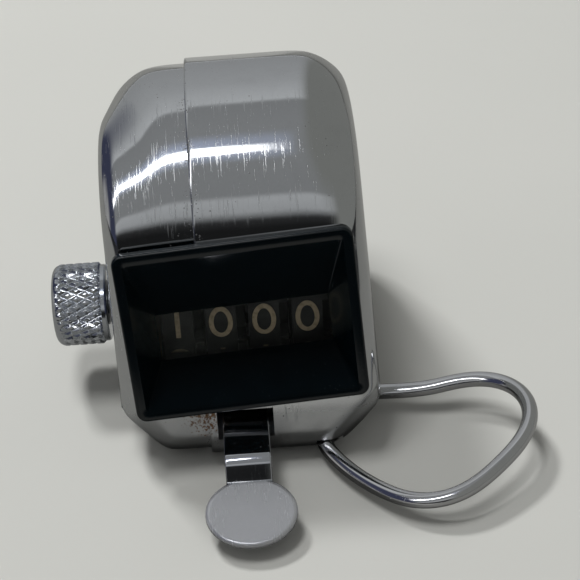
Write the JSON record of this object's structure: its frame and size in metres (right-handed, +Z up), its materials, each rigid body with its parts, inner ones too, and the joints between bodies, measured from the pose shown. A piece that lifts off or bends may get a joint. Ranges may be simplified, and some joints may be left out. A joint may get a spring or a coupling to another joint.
{
  "type": "hand tally counter",
  "caption": "Chromed hand tally counter: number wheels behind a black bezel, thumb lever, knurled reset knob and folding finger ring.",
  "frame": {"origin": "on the flat base, on the case's middle plane, below the register", "axes": "+X to the right of the window and away from the reset knob, -Y out of the window towards the user, +Z up from the base"},
  "size_m": [0.0617, 0.0598, 0.0425],
  "materials": {
    "left_shell_chrome": "polished nickel-chrome plate, lightly scratched and pitted",
    "right_shell_chrome": "polished nickel-chrome plate, lightly scratched",
    "bezel_black": "glossy black moulding",
    "lens_clear": "clear sheet, slightly hazed",
    "lever_chrome": "polished plate, finger worn",
    "knob_chrome": "diamond knurled, plated",
    "ring_chrome": "plated wire, slightly dulled",
    "brass": "stamped",
    "wheel_black": "satin black with cream figures",
    "steel": "bright machined"
  },
  "bodies": {
    "case": {"left_case": "left_shell_chrome", "right_case": "right_shell_chrome", "bezel": "bezel_black", "window_lens": "lens_clear", "base_screws": "steel", "left_plate": "brass", "right_plate": "brass", "frame_bars": "steel", "base_rail": "steel", "detent_rail": "steel", "plate_screws": "steel", "left_bush": "brass", "right_bush": "brass", "knob_washer": "steel", "lever_pivot": "steel", "lever_spring": "steel", "detent_comb": "brass", "detent_screws": "steel", "ring_bracket": "brass", "ring_rivets": "steel"},
    "reset": {"reset_shaft": "steel", "reset_knob": "knob_chrome", "knob_screw": "steel", "shaft_clip": "steel"},
    "units": {"units_wheel": "wheel_black", "units_pawl": "steel"},
    "tens": {"tens_wheel": "wheel_black", "tens_pawl": "steel"},
    "hundreds": {"hundreds_wheel": "wheel_black", "hundreds_pawl": "steel"},
    "thousands": {"thousands_wheel": "wheel_black", "thousands_pawl": "steel"},
    "lever": {"thumb_lever": "lever_chrome", "comb_pin": "steel", "comb_spring": "steel"},
    "comb": {"drive_comb": "steel"},
    "ring": {"finger_ring": "ring_chrome"}
  },
  "joints": [
    {"name": "lever_press", "type": "hinge", "parent": "case", "child": "lever", "pos_m": [-0.0005, -0.0125, 0.005], "axis": [1, 0, 0], "range_deg": [0, 8], "stiffness_Nm_per_rad": 0.05},
    {"name": "comb_swing", "type": "hinge", "parent": "lever", "child": "comb", "pos_m": [0.002, -0.0099, 0.0034], "axis": [1, 0, 0], "range_deg": [-7, 0.5]},
    {"name": "units_spin", "type": "hinge", "parent": "case", "child": "units", "pos_m": [0.0084, -0.0019, 0.0116], "axis": [-1, 0, 0], "continuous": true},
    {"name": "tens_spin", "type": "hinge", "parent": "case", "child": "tens", "pos_m": [0.0028, -0.0019, 0.0116], "axis": [-1, 0, 0], "continuous": true},
    {"name": "hundreds_spin", "type": "hinge", "parent": "case", "child": "hundreds", "pos_m": [-0.0028, -0.0019, 0.0116], "axis": [-1, 0, 0], "continuous": true},
    {"name": "thousands_spin", "type": "hinge", "parent": "case", "child": "thousands", "pos_m": [-0.0084, -0.0019, 0.0116], "axis": [-1, 0, 0], "continuous": true},
    {"name": "reset_turn", "type": "hinge", "parent": "case", "child": "reset", "pos_m": [-0.02, -0.0019, 0.0116], "axis": [-1, 0, 0], "continuous": true},
    {"name": "ring_fold", "type": "hinge", "parent": "case", "child": "ring", "pos_m": [0.0095, -0.0165, 0.0019], "axis": [0, 1, 0], "range_deg": [-4, 90]}
  ],
  "couplings": [
    {"joint": "comb_swing", "follows": "lever_press", "ratio": -0.8}
  ]
}
